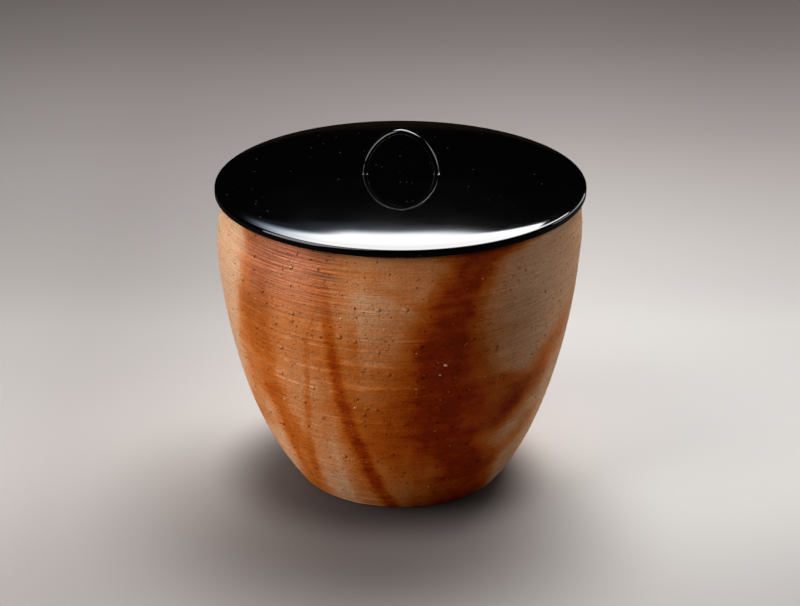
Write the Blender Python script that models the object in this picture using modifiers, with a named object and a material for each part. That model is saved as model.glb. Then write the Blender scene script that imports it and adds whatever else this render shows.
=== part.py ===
"""A lidded stoneware water jar for the tea ceremony, in metres, +Z up.

The origin is the middle of the jar's flat base. The jar is thrown clay, the lid is turned wood
under black lacquer, and a bent strip with a tenon at each foot is the lid's handle.
"""

import math

import bpy
from mathutils import Matrix, Vector

MM = 0.001

# The jar's outside, from the base up
FOOT_RADIUS = 54.2 * MM
FOOT_ROUNDING = 0.9 * MM
FLARE_ANGLE = math.radians(38.4)
BELLY_RADIUS = 93.4 * MM
BELLY_HEIGHT = 132.0 * MM
SHOULDER_HEIGHT = 23.6 * MM
RIM_RADIUS = 92.0 * MM
FLARE_PULL_SHARE = 0.385
BELLY_PULL_SHARE = 0.145
SHOULDER_PULL_SHARE = 0.5

# The jar's wall and floor
WALL = 6.5 * MM
LIP_ROUNDING = 2.6 * MM
FLOOR_THICKNESS = 9.0 * MM
FLOOR_CORNER = 13.0 * MM

# The lid, which rests on the rim with a ring inside the mouth
LID_OVERHANG = 3.0 * MM
LID_SEAT_GAP = 0.3 * MM
LID_RIM_HEIGHT = 3.7 * MM
LID_DOME_RISE = 4.5 * MM
LID_EDGE_WIDTH = 11.0 * MM
LID_EDGE_DROP = 0.5 * MM
PANEL_THICKNESS = 5.0 * MM
LID_TOP_ROUNDING = 1.3 * MM
LID_UNDER_ROUNDING = 0.7 * MM
RING_CLEARANCE = 1.2 * MM
RING_WIDTH = 5.0 * MM
RING_HEIGHT = 5.5 * MM
RING_ROUNDING = 0.8 * MM

# The handle, a strip bent to an arch, thinnest at its top
HANDLE_WIDTH = 39.7 * MM
HANDLE_HEIGHT = 23.3 * MM
HANDLE_DEPTH = 4.9 * MM
STRIP_TOP_THICKNESS = 2.1 * MM
STRIP_FOOT_THICKNESS = 2.7 * MM
STRIP_ROUNDING = 0.45 * MM
HANDLE_FOOT_FILLET = 0.6 * MM
ARCH_EXPONENT = 1.85
TENON_THICKNESS_SHARE = 0.7
TENON_LENGTH_SHARE = 0.62
TENON_CLEARANCE = 0.3 * MM

# Clearances for modelling, and how finely curves are divided
CUT_OVERRUN = 1.0 * MM
MERGE_DISTANCE = 0.01 * MM
TURNED_STEP_COUNT = 72
WALL_SEGMENT_COUNT = 14
SHOULDER_SEGMENT_COUNT = 4
LIP_SEGMENT_COUNT = 6
CORNER_SEGMENT_COUNT = 4
DOME_SEGMENT_COUNT = 4
ROUNDING_SEGMENT_COUNT = 3
ARCH_SEGMENT_COUNT = 32

# Heights and radii that follow from the sizes above
JAR_HEIGHT = BELLY_HEIGHT + SHOULDER_HEIGHT
MOUTH_RADIUS = RIM_RADIUS - WALL
LID_RADIUS = RIM_RADIUS + LID_OVERHANG
LID_BOTTOM = JAR_HEIGHT + LID_SEAT_GAP
LID_EDGE_TOP = LID_BOTTOM + LID_RIM_HEIGHT
LID_TOP = LID_EDGE_TOP + LID_DOME_RISE + LID_EDGE_DROP
RING_RADIUS = MOUTH_RADIUS - RING_CLEARANCE
HANDLE_HALF_WIDTH = HANDLE_WIDTH / 2
TENON_LENGTH = TENON_LENGTH_SHARE * PANEL_THICKNESS
TENON_THICKNESS = TENON_THICKNESS_SHARE * STRIP_FOOT_THICKNESS
TENON_OFFSET = HANDLE_HALF_WIDTH - STRIP_FOOT_THICKNESS / 2


def clear_scene():
    for old in list(bpy.data.objects):
        bpy.data.objects.remove(old, do_unlink=True)


def new_collection(name):
    collection = bpy.data.collections.new(name)
    bpy.context.scene.collection.children.link(collection)
    return collection


def material(name, color, roughness, coat=0.0):
    made = bpy.data.materials.new(name)
    made.use_nodes = True
    made.diffuse_color = (*color, 1.0)
    shader = made.node_tree.nodes["Principled BSDF"]
    shader.inputs["Base Color"].default_value = (*color, 1.0)
    shader.inputs["Metallic"].default_value = 0.0
    shader.inputs["Roughness"].default_value = roughness
    shader.inputs["Coat Weight"].default_value = coat
    return made


def spread(start, end, count):
    """count + 1 evenly spaced values, both ends included."""
    return [start + (end - start) * i / count for i in range(count + 1)]


def bezier(start, pull_start, pull_end, end, count):
    """count + 1 points of a cubic curve in the plane, both ends included."""
    points = []
    for i in range(count + 1):
        t = i / count
        s = 1 - t
        points.append(
            s**3 * Vector(start)
            + 3 * s * s * t * Vector(pull_start)
            + 3 * s * t * t * Vector(pull_end)
            + t**3 * Vector(end)
        )
    return points


def arc(centre, across, up, start, end, count=ROUNDING_SEGMENT_COUNT):
    """count + 1 points of an ellipse's arc between two angles, given in quarter turns."""
    points = []
    for i in range(count + 1):
        angle = math.radians(90) * (start + (end - start) * i / count)
        offset = Vector((across * math.cos(angle), up * math.sin(angle)))
        points.append(Vector(centre) + offset)
    return points


def offset_inward(points, distance):
    """The open curve, which runs upward, moved by its own normals towards the jar's axis."""
    moved = []
    for i, point in enumerate(points):
        before = points[max(i - 1, 0)]
        after = points[min(i + 1, len(points) - 1)]
        along = (after - before).normalized()
        moved.append(point + distance * Vector((-along.y, along.x)))
    return moved


def turned(name, profile, look, collection):
    """A profile of (radius, height) points turned about the upright axis, as one closed body."""
    mesh = bpy.data.meshes.new(name)
    mesh.from_pydata(
        [(radius, 0.0, height) for radius, height in profile],
        [(i, i + 1) for i in range(len(profile) - 1)],
        [],
    )
    mesh.materials.append(look)
    piece = bpy.data.objects.new(name, mesh)
    collection.objects.link(piece)
    screw = piece.modifiers.new("turn", "SCREW")
    screw.axis = "Z"
    screw.steps = TURNED_STEP_COUNT
    screw.render_steps = TURNED_STEP_COUNT
    screw.use_merge_vertices = True
    screw.merge_threshold = MERGE_DISTANCE
    screw.use_smooth_shade = True
    return piece


def jar_outside():
    """The outer side from the base's edge up to where the lip begins."""
    foot = Vector((FOOT_RADIUS, FOOT_ROUNDING))
    flare = Vector((math.sin(FLARE_ANGLE), math.cos(FLARE_ANGLE)))
    belly = Vector((BELLY_RADIUS, BELLY_HEIGHT))
    rim = Vector((RIM_RADIUS, JAR_HEIGHT - LIP_ROUNDING))
    upright = Vector((0, 1))
    lower = bezier(
        foot,
        foot + FLARE_PULL_SHARE * BELLY_HEIGHT * flare,
        belly - BELLY_PULL_SHARE * BELLY_HEIGHT * upright,
        belly,
        WALL_SEGMENT_COUNT,
    )
    rise = SHOULDER_HEIGHT - LIP_ROUNDING
    upper = bezier(
        belly,
        belly + SHOULDER_PULL_SHARE * rise * upright,
        rim - SHOULDER_PULL_SHARE * rise * upright,
        rim,
        SHOULDER_SEGMENT_COUNT,
    )
    return lower + upper[1:]


def jar_profile():
    """From the middle of the hollow's floor, up the inside, over the lip and down to the base."""
    outside = jar_outside()
    inside = [
        point
        for point in offset_inward(outside, WALL)
        if point.y > FLOOR_THICKNESS + FLOOR_CORNER
    ]
    inside[-1] = Vector((MOUTH_RADIUS, outside[-1].y))
    lowest = inside[0]
    down = (inside[0] - inside[1]).normalized()
    floor_edge = lowest.x + down.x * (lowest.y - FLOOR_THICKNESS) / -down.y
    corner = Vector((floor_edge, FLOOR_THICKNESS))
    floor = bezier(
        corner - Vector((FLOOR_CORNER, 0)), corner, corner, lowest, CORNER_SEGMENT_COUNT
    )
    lip_middle = (RIM_RADIUS - WALL / 2, outside[-1].y)
    lip = arc(lip_middle, WALL / 2, LIP_ROUNDING, 2, 0, LIP_SEGMENT_COUNT)
    base_edge_middle = (FOOT_RADIUS - FOOT_ROUNDING, FOOT_ROUNDING)
    base_edge = arc(base_edge_middle, FOOT_ROUNDING, FOOT_ROUNDING, 0, -1)
    return (
        [Vector((0, FLOOR_THICKNESS))]
        + floor[:-1]
        + inside
        + lip[1:-1]
        + outside[::-1]
        + base_edge[1:]
        + [Vector((0, 0))]
    )


def lid_surface_height(radius):
    """How high the lid's shallow dome is at a radius, with its edge rolled down a little."""
    into_edge = max(0.0, 1 - (LID_RADIUS - radius) / LID_EDGE_WIDTH)
    dome = LID_DOME_RISE * (radius / LID_RADIUS) ** 2
    return LID_TOP - dome - LID_EDGE_DROP * into_edge**3


def lid_profile():
    """From the top's middle out over the edge, in under the rim, down the ring and back in."""
    dome_edge = LID_RADIUS - LID_TOP_ROUNDING
    roll_start = LID_RADIUS - LID_EDGE_WIDTH
    radii = spread(0, roll_start, DOME_SEGMENT_COUNT)
    radii += spread(roll_start, dome_edge, ROUNDING_SEGMENT_COUNT)[1:]
    points = [Vector((radius, lid_surface_height(radius))) for radius in radii]
    top_middle = (dome_edge, lid_surface_height(dome_edge) - LID_TOP_ROUNDING)
    points += arc(top_middle, LID_TOP_ROUNDING, LID_TOP_ROUNDING, 1, 0)[1:]
    under_middle = (LID_RADIUS - LID_UNDER_ROUNDING, LID_BOTTOM + LID_UNDER_ROUNDING)
    points += arc(under_middle, LID_UNDER_ROUNDING, LID_UNDER_ROUNDING, 0, -1)
    ring_bottom = LID_BOTTOM - RING_HEIGHT
    inner_radius = RING_RADIUS - RING_WIDTH
    points.append(Vector((RING_RADIUS, LID_BOTTOM)))
    outer_middle = (RING_RADIUS - RING_ROUNDING, ring_bottom + RING_ROUNDING)
    points += arc(outer_middle, RING_ROUNDING, RING_ROUNDING, 0, -1)
    inner_middle = (inner_radius + RING_ROUNDING, ring_bottom + RING_ROUNDING)
    points += arc(inner_middle, RING_ROUNDING, RING_ROUNDING, -1, -2)
    for radius in spread(inner_radius, 0, DOME_SEGMENT_COUNT):
        points.append(Vector((radius, lid_surface_height(radius) - PANEL_THICKNESS)))
    return points


def superellipse(half_width, height, count=ARCH_SEGMENT_COUNT):
    """An arch from its left foot over to its right one, in x and height above the feet.

    It has count + 1 points.
    """
    power = 2 / ARCH_EXPONENT
    points = []
    for i in range(count + 1):
        angle = math.pi * (1 - i / count)
        reach = math.copysign(abs(math.cos(angle)) ** power, math.cos(angle))
        lift = max(math.sin(angle), 0.0) ** power
        points.append(Vector((half_width * reach, height * lift)))
    return points


def leg_foot(side):
    """One foot from its outer fillet to its inner one, round the tenon below it."""
    outer = HANDLE_HALF_WIDTH
    inner = outer - STRIP_FOOT_THICKNESS
    fillet = HANDLE_FOOT_FILLET
    half_tenon = TENON_THICKNESS / 2
    points = arc((outer + fillet, fillet), fillet, fillet, -2, -1)
    points += [
        Vector((TENON_OFFSET + half_tenon, 0)),
        Vector((TENON_OFFSET + half_tenon, -TENON_LENGTH)),
        Vector((TENON_OFFSET - half_tenon, -TENON_LENGTH)),
        Vector((TENON_OFFSET - half_tenon, 0)),
    ]
    points += arc((inner - fillet, fillet), fillet, fillet, -1, 0)
    if side > 0:
        return points
    return [Vector((-point.x, point.y)) for point in reversed(points)]


def above_fillet(points):
    return [point for point in points if point.y > HANDLE_FOOT_FILLET]


def handle_outline():
    outer = superellipse(HANDLE_HALF_WIDTH, HANDLE_HEIGHT)
    inner = superellipse(
        HANDLE_HALF_WIDTH - STRIP_FOOT_THICKNESS, HANDLE_HEIGHT - STRIP_TOP_THICKNESS
    )
    return (
        above_fillet(outer)
        + leg_foot(1)
        + above_fillet(inner)[::-1]
        + leg_foot(-1)
    )


def handle_seat_height():
    """Where the undersides of the handle's feet stay clear of the lid's dome."""
    return lid_surface_height(TENON_OFFSET) + TENON_CLEARANCE


def lid_handle(look, collection):
    """The strip's outline in the upright plane, thickened to the strip's depth."""
    outline = handle_outline()
    curve = bpy.data.curves.new("lid_handle", "CURVE")
    curve.dimensions = "2D"
    curve.fill_mode = "BOTH"
    curve.extrude = HANDLE_DEPTH / 2
    spline = curve.splines.new("POLY")
    spline.points.add(len(outline) - 1)
    spline.use_cyclic_u = True
    for point, (x, y) in zip(spline.points, outline):
        point.co = (x, y, 0, 1)
    curve.materials.append(look)
    piece = bpy.data.objects.new("lid_handle", curve)
    collection.objects.link(piece)
    piece.rotation_euler = (math.radians(90), 0, 0)
    piece.location = (0, 0, handle_seat_height())
    weld = piece.modifiers.new("weld", "WELD")
    weld.merge_threshold = MERGE_DISTANCE
    bevel = piece.modifiers.new("round", "BEVEL")
    bevel.width = STRIP_ROUNDING
    bevel.segments = 2
    bevel.limit_method = "ANGLE"
    bevel.angle_limit = math.radians(60)
    return piece


def cutter_box(name, size, centre, collection):
    bpy.ops.mesh.primitive_cube_add(size=1)
    box = bpy.context.object
    box.name = name
    box.data.transform(Matrix.Diagonal((*size, 1)))
    box.location = centre
    box.hide_render = True
    box.display_type = "WIRE"
    for old in list(box.users_collection):
        old.objects.unlink(box)
    collection.objects.link(box)
    return box


def cut_mortises(lid, cutters):
    """A blind mortise in the lid's top for each tenon of the handle."""
    bottom = handle_seat_height() - TENON_LENGTH - TENON_CLEARANCE
    top = LID_TOP + CUT_OVERRUN
    size = (
        TENON_THICKNESS + 2 * TENON_CLEARANCE,
        HANDLE_DEPTH + 2 * TENON_CLEARANCE,
        top - bottom,
    )
    for side, label in ((-1, "left"), (1, "right")):
        centre = (side * TENON_OFFSET, 0, (top + bottom) / 2)
        box = cutter_box(f"mortise_{label}", size, centre, cutters)
        cut = lid.modifiers.new(f"mortise_{label}", "BOOLEAN")
        cut.operation = "DIFFERENCE"
        cut.object = box


def build():
    clear_scene()
    parts = new_collection("tea_ceremony_water_jar")
    cutters = new_collection("cutters")
    clay = material("fired_stoneware", (0.42, 0.16, 0.06), 0.75)
    lid_lacquer = material("lid_black_lacquer", (0.004, 0.004, 0.005), 0.06, coat=0.5)
    handle_lacquer = material("handle_black_lacquer", (0.005, 0.005, 0.006), 0.12, coat=0.5)
    turned("jar_body", jar_profile(), clay, parts)
    lid = turned("lid_panel", lid_profile(), lid_lacquer, parts)
    cut_mortises(lid, cutters)
    lid_handle(handle_lacquer, parts)


build()
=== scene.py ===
"""The looks of a lidded stoneware water jar for the tea ceremony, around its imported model.

Metres, +Z up, the jar's axis on Z and the viewer at -Y. A place on the jar's wall is an angle round
the axis in degrees, 0 at the viewer's side and positive to the right, and a height above the base.
"""

import math
import random

import bmesh
import bpy
import numpy as np
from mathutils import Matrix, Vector, noise


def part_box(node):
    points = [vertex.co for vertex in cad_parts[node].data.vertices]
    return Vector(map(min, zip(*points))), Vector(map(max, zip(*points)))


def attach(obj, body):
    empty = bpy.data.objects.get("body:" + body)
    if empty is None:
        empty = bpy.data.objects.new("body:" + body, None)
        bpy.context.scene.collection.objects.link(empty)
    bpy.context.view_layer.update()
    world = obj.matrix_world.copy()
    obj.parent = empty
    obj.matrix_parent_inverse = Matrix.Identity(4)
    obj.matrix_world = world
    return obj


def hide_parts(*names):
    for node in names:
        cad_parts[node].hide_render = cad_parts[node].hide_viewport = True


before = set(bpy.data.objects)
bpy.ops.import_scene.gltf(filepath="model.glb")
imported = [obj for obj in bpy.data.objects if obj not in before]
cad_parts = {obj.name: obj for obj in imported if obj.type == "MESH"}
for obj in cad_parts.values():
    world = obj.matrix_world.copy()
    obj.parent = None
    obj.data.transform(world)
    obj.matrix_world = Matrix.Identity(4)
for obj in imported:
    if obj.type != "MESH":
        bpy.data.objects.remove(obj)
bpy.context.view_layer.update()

MM = 0.001
JAR_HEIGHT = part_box("jar_body")[1].z
LID_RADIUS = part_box("lid_panel")[1].x
LID_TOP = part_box("lid_panel")[1].z
HANDLE_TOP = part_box("lid_handle")[1].z
HANDLE_HALF_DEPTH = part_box("lid_handle")[1].y

# The jar's outline
FOOT_RADIUS = 54.2 * MM
FOOT_ROUNDING = 0.9 * MM
FLARE_ANGLE = math.radians(38.4)
BELLY_RADIUS = 93.4 * MM
BELLY_HEIGHT = 132 * MM
RIM_RADIUS = 92 * MM
FLARE_PULL_SHARE = 0.385
BELLY_PULL_SHARE = 0.145
SHOULDER_PULL_SHARE = 0.5
BASE_SHARES = (0.3, 0.6, 0.85)
FLOOR_SHARES = (0.2, 0.4, 0.6)
WALL = 6.5 * MM
LIP_ROUNDING = 2.6 * MM
FLOOR_THICKNESS = 9 * MM
FLOOR_CORNER = 13 * MM
FLARE_ROWS = 240
SHOULDER_ROWS = 42

# How the hand-thrown jar departs from a turned one
COLUMNS = 224
OVAL = 0.3 * MM
TRIANGLE = 0.15 * MM
TRIANGLE_TURN = 0.3
LEAN = 0.95 * MM
LEAN_REACH = 33 * MM
LEAN_BACK_HEIGHT = 118 * MM
LEAN_BACK_SHARE = 1.55
# The pitches in mm of the rings that ripple each side
OUTER_RIPPLES = (3.1, 4.3, 5.9, 8.5, 13)
OUTER_RIPPLE_DEPTH = 0.1 * MM
INNER_RIPPLES = (7.5, 9, 12)
INNER_RIPPLE_DEPTH = 0.45 * MM
RIPPLE_SWAY = 0.7
RIPPLE_FADE = 8 * MM
INNER_RIPPLE_FADE = 12 * MM
FOOT_RIPPLE_SHARE = 0.4
FOOT_UNEVEN = 0.35 * MM
FOOT_UNEVEN_REACH = 5 * MM
FOOT_WAVES = (5, 13)
CHIPPED_FROM = 0.9 * FOOT_RADIUS

# The lid and its underside
LID_RIM_HEIGHT = 3.7 * MM
LID_DOME_RISE = 4.5 * MM
LID_EDGE_WIDTH = 11 * MM
LID_EDGE_DROP = 0.5 * MM
PANEL_THICKNESS = 5 * MM
LID_TOP_ROUNDING = 1.3 * MM
LID_UNDER_ROUNDING = 0.7 * MM
RING_RADIUS = 84.3 * MM
RING_WIDTH = 5 * MM
RING_HEIGHT = 5.5 * MM
RING_ROUNDING = 0.8 * MM
SEAT_WIDTH = 4 * MM
LID_COLUMNS = 256
LID_ROWS = 48

# The handle's bent strip
HANDLE_HALF_WIDTH = 19.85 * MM
STRIP_TOP_THICKNESS = 2.1 * MM
STRIP_FOOT_THICKNESS = 2.7 * MM
STRIP_ROUNDING = 0.45 * MM
# The strip's crowned outer face, as rows of (share of half the depth from the middle, drop in mm),
# from the far edge to the near one
STRIP_CROWN = (
    (0.985, 0.45), (0.93, 0.24), (0.84, 0.08), (0.7, 0), (0.35, 0.005), (0, 0.02), (-0.28, 0.06),
    (-0.45, 0.13), (-0.6, 0.24), (-0.73, 0.4), (-0.84, 0.6), (-0.92, 0.82), (-0.975, 1.08),
)
FOOT_FILLET = 0.9 * MM
FOOT_SINK = 0.1 * MM
ARCH_EXPONENT = 1.85
# Where the strip's rows are, from the foot up to the top
STRIP_TURNS = [0.0, 0.004, 0.009, 0.016, 0.025, 0.037, 0.052, *np.linspace(0.07, math.pi / 2, 40)]

# Grits of pale stone in the clay: how many, how large and how far they sit in the wall
GRIT_COUNT = 480
GRIT_SEED = 23
GRIT_RADIUS_RANGE = (0.18 * MM, 0.70 * MM)
GRIT_SINK_SHARE = 0.35
GRIT_STRETCH = ((0.8, 1.25), (0.8, 1.25), (0.6, 1.0))
GRIT_ROUGHNESS = 0.45
GRIT_NOISE_REACH = 9
GRIT_HEIGHT_SHARES = (0.03, 0.96)
# The largest ones in the photo: angle, height in mm and radius in mm
BIG_GRITS = (
    (14.9, 96, 0.95), (-14.8, 70.7, 0.85), (-4.3, 117.5, 0.9), (-37.5, 109, 0.75), (-43.5, 65.5, 0.7),
    (-22.3, 60.5, 0.8), (13.1, 17, 0.85), (24.7, 114, 0.6), (49.7, 54, 0.8), (-42, 100, 0.55),
    (1.5, 151, 0.5), (20.5, 137, 0.5), (-13.5, 118, 0.5), (5.5, 104, 0.55), (19.5, 45, 0.5),
    (22.5, 71, 0.45), (-50, 120, 0.45), (70, 150, 0.5),
)

# Clay colours, from bare clay to where the fire marked it most
FIRE_COLORS = (
    (0.0, (0.58, 0.335, 0.195)), (0.15, (0.6, 0.278, 0.128)), (0.3, (0.56, 0.209, 0.071)),
    (0.45, (0.54, 0.174, 0.048)), (0.55, (0.5, 0.134, 0.024)), (0.65, (0.465, 0.11, 0.0125)),
    (0.75, (0.425, 0.085, 0.0055)), (0.85, (0.36, 0.0545, 0.0018)), (0.95, (0.27, 0.027, 0.0009)),
    (1.0, (0.21, 0.0178, 0.0007)),
)
TAN_CLAY = (0.5, 0.22, 0.1)
WARM_CLAY = (0.4, 0.118, 0.036)
# A painted sheen: the pink cast where the side light glints on the throwing lines at the top left
PAINTED_SHEEN_COLOR = (0.56, 0.2, 0.13)
# The tint of the smoke and of the painted shade, warmer where they darken the clay
SMOKE_AND_SHADE_TINT = (1.2, 1.05, 0.75)
GRIT_PALE = (0.66, 0.42, 0.25)
GRIT_WARM = (0.44, 0.15, 0.05)
# Painted shade in the pits
PIT_PAINTED_SHADE = (0.46, 0.38, 0.34)
SPECK_TINT = (0.55, 0.48, 0.45)
BUMP_TINT = (1.22, 1.24, 1.3)
ASH_DARK = (0.1, 0.03, 0.022)
TOOL_TINT = (1.34, 1.5, 2)
INSIDE_CLAY = (0.3, 0.125, 0.06)
LACQUER_BLACK = (0.0004, 0.0003, 0.0003)
DUST_GREY = (0.5, 0.5, 0.5)

# The fire marks of each side: the softness of the mark's edge, then rows of height in mm, angle, half
# width in degrees and strength, up the wall
FRONT_MARKS = {
    "left_field": (0.16, (
        (0, -38, 11, 0.06), (20, -38, 11, 0.12), (45, -39, 12, 0.24), (62, -41, 16, 0.26),
        (75, -43.5, 20, 0.26), (88, -44, 20, 0.34), (104, -43, 19, 0.42), (120, -41.5, 18, 0.42),
        (132, -40.5, 17, 0.42), (144, -40.5, 17, 0.34), (155, -40.5, 17, 0.38),
    )),
    "left_drift": (0.85, (
        (34, -72, 12, 0.12), (46, -64, 11, 0.32), (52, -65, 9, 0.28), (60, -62, 8, 0.34), (72, -60, 8, 0.3),
        (88, -58, 7, 0.14), (104, -57, 6, 0.12), (120, -56, 5, 0.06), (140, -55, 4, 0),
    )),
    "left_band": (0.75, (
        (62, -51, 5, 0.1), (72, -48, 6, 0.36), (82, -49, 6, 0.28), (90, -50, 7, 0.36), (104, -51, 6, 0.24),
        (120, -51, 6, 0.18), (132, -50, 5.5, 0.14), (144, -51, 4, 0.22), (155, -54, 5.5, 0.36),
    )),
    "left_streak": (0.8, (
        (112, -47.5, 1.8, 0.1), (126, -47, 1.8, 0.16), (136, -46, 1.6, 0.16), (144, -43.5, 1.6, 0.2),
        (150, -41, 1.8, 0.16), (155, -40, 1.8, 0),
    )),
    "left_foot": (0.75, (
        (0, -54, 13, 0.56), (8, -50, 10.5, 0.54), (16, -46, 7.5, 0.48), (26, -43.5, 6.5, 0.46),
        (40, -44.5, 6, 0.52), (55, -45.5, 5.5, 0.54), (65, -47.5, 5, 0.46), (76, -49, 5, 0.08),
        (84, -50, 5, 0),
    )),
    "thin_streak": (0.8, (
        (8, -41.5, 3, 0.1), (20, -40, 2.4, 0.34), (34, -38, 2, 0.42), (50, -35.7, 1.6, 0.32),
        (64, -33.7, 1.4, 0.34), (80, -32.2, 1.2, 0.3), (96, -31, 1.2, 0.22), (112, -29.2, 1.2, 0.16),
        (124, -28.5, 1.2, 0),
    )),
    "main_shoulder": (0.9, (
        (0, -16, 6, 0.26), (12, -17, 5.5, 0.36), (26, -18, 5, 0.36), (44, -19, 4, 0.3), (60, -20.5, 4, 0.3),
        (80, -21, 5, 0.38), (98, -20.5, 6, 0.46), (116, -20.5, 5, 0.42), (140, -21.5, 5.5, 0.34),
        (155, -21, 6, 0.3),
    )),
    "main_streak": (0.7, (
        (0, -4, 4.2, 0.8), (8, -7, 4, 0.8), (16, -10, 3.7, 0.8), (26, -12, 3.4, 0.82), (40, -14.6, 3, 0.72),
        (54, -17.4, 2.6, 0.66), (68, -18.9, 2.3, 0.6), (80, -20.3, 2.2, 0.62), (96, -21.4, 2.1, 0.64),
        (112, -22.2, 1.8, 0.52), (128, -22.9, 1.4, 0.3), (144, -23.3, 1.3, 0.12), (155, -23.5, 1.3, 0),
    )),
    "centre_haze": (0.5, (
        (0, -2, 12, 0.1), (16, -3, 11, 0.14), (32, -5, 12, 0.3), (48, -8, 11, 0.38), (64, -9, 11, 0.28),
        (78, -9, 11, 0.24), (92, -8, 12, 0.38), (108, -7, 11, 0.24), (132, -7, 10, 0.12),
        (143, -6, 12, 0.28), (155, -6, 13, 0.24),
    )),
    "mass_halo": (1, (
        (0, 10, 24, 0.5), (12, 8, 22, 0.44), (24, 8, 22, 0.5), (36, 8, 24, 0.68), (48, 6, 25, 0.72),
        (64, 5, 25, 0.74), (76, 8, 23, 0.68), (84, 12, 20, 0.6), (90, 12, 19, 0.56), (100, 14, 17, 0.46),
        (112, 14, 16, 0.5), (126, 16, 15, 0.4), (138, 17, 15, 0.38), (146, 19, 15, 0.38),
        (155, 23, 17, 0.45),
    )),
    "mass": (0.62, (
        (0, 30, 20, 0.76), (8, 29, 17, 0.8), (16, 27, 15.5, 0.8), (24, 27, 13.5, 0.88), (32, 25, 12, 0.92),
        (40, 20.5, 11.5, 0.9), (48, 16, 11, 0.86), (64, 14, 10.5, 0.84), (80, 13.5, 11, 0.84),
        (94, 13, 11.5, 0.9), (104, 13.5, 11, 0.9), (114, 14.5, 9.5, 0.88), (124, 15.5, 9, 0.86),
        (132, 17, 9, 0.84), (140, 20, 8.5, 0.82), (148, 23.5, 8.5, 0.8), (155, 28, 14.5, 0.86),
    )),
    "mass_right": (0.45, (
        (0, 40, 14, 0.55), (10, 38, 11, 0.56), (22, 36, 9, 0.6), (30, 36, 9, 0.6), (36, 33, 9, 0.48),
        (42, 28, 9, 0.36), (48, 31, 10, 0.46), (56, 34, 12, 0.62), (64, 35, 14, 0.66), (72, 34, 15, 0.6),
        (82, 31, 12, 0.6), (86, 28, 8, 0.34), (94, 26, 6, 0.2), (120, 22, 6, 0.1),
    )),
    "right_drift": (0.85, (
        (44, 28, 8, 0), (50, 36, 10, 0.28), (57, 41, 10.5, 0.52), (65, 46, 10.5, 0.58), (73, 51, 10, 0.6),
        (81, 56, 9, 0.54), (89, 60, 8, 0.46), (97, 65, 7.5, 0.24), (105, 70, 7, 0.12), (113, 75, 6, 0.06),
        (120, 80, 5, 0),
    )),
    "right_arm": (0.85, (
        (18, 32, 5, 0), (24, 38, 6, 0.2), (30, 44, 6, 0.28), (36, 50, 6, 0.36), (42, 54, 6, 0.34),
        (50, 58, 5.5, 0.22), (56, 62, 5, 0),
    )),
    "branch": (0.85, (
        (126, 8, 3, 0.2), (130, 4, 3, 0.24), (134, 0, 3, 0.26), (138, -4, 3, 0.22), (143, -8, 3, 0),
    )),
    "top_smear": (0.8, (
        (143, -9, 4, 0), (146, -9, 5, 0.2), (149, -9, 4, 0),
    )),
    "short_streak": (0.9, (
        (98, -14.2, 1.2, 0), (104, -14.4, 1.4, 0.22), (114, -14.7, 1.3, 0.24), (126, -15.4, 1, 0),
    )),
}
BACK_MARKS = {
    "back_field": (0.6, (
        (0, 128, 20, 0.4), (60, 124, 22, 0.55), (110, 128, 20, 0.48), (155, 134, 18, 0.5),
    )),
    "back_mass": (0.8, (
        (0, 142, 14, 0.45), (30, 146, 12, 0.7), (60, 143, 11, 0.72), (100, 152, 10, 0.7),
        (130, 158, 8, 0.62), (155, 164, 9, 0.5),
    )),
    "back_left_field": (0.3, (
        (0, -150, 12, 0.2), (50, -144, 17, 0.4), (110, -138, 19, 0.44), (155, -132, 16, 0.4),
    )),
    "back_streak": (0.7, (
        (0, 184, 3.4, 0.6), (30, 178, 2.8, 0.7), (70, 172, 2.2, 0.6), (110, 170, 1.7, 0.5),
        (155, 172, 1.5, 0.25),
    )),
    "back_left_streak": (0.7, (
        (0, -126, 3.2, 0.55), (40, -134, 2.6, 0.62), (80, -139, 2.2, 0.56), (120, -141, 1.7, 0.46),
        (155, -141, 1.4, 0.25),
    )),
    "back_thin_streak": (0.8, (
        (10, 108, 1.6, 0), (40, 111, 1.6, 0.34), (80, 116, 1.3, 0.32), (124, 119, 1.2, 0),
    )),
}

# Where the clay is darker without reddening, in the same form: partly smoke that dulled it, partly painted
# shade on the right side and near the foot
SMOKE_AND_SHADE_MARKS = {
    "right_smoke_and_shade": (0.65, (
        (0, 60, 20, 0.42), (10, 57, 16, 0.4), (26, 50, 15, 0.38), (46, 47, 16, 0.36), (66, 46, 14, 0.34),
        (84, 39, 14, 0.3), (104, 35, 14, 0.34), (120, 35, 13, 0.24), (136, 34, 10, 0.1), (155, 34, 8, 0),
    )),
    "left_smoke": (0.8, (
        (80, -52, 7, 0), (100, -51.5, 7.5, 0.2), (120, -50, 7.5, 0.3), (140, -48.5, 7, 0.26),
        (155, -50, 7, 0.34),
    )),
    "low_left_darker": (0.8, (
        (14, -84, 12, 0), (30, -80, 12, 0.22), (46, -73, 10, 0.2), (66, -68, 8, 0),
    )),
}

# Where the throwing lines hold dark ash, in the same form
STRIPE_MARKS = {
    "field_stripes": (0.4, (
        (104, -40, 18, 0.06), (122, -39, 18, 0.22), (140, -38, 19, 0.42), (155, -38, 20, 0.5),
    )),
    "left_stripes": (0.8, (
        (112, -46.5, 4, 0), (126, -46.5, 5, 0.45), (138, -44.5, 5.5, 0.75), (148, -40.5, 5.5, 0.8),
        (155, -38, 5, 0.5),
    )),
    "streak_stripes": (0.8, (
        (108, -22, 3, 0), (124, -22.8, 4, 0.45), (140, -23.5, 5, 0.7), (155, -23.5, 4, 0.6),
    )),
}

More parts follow.
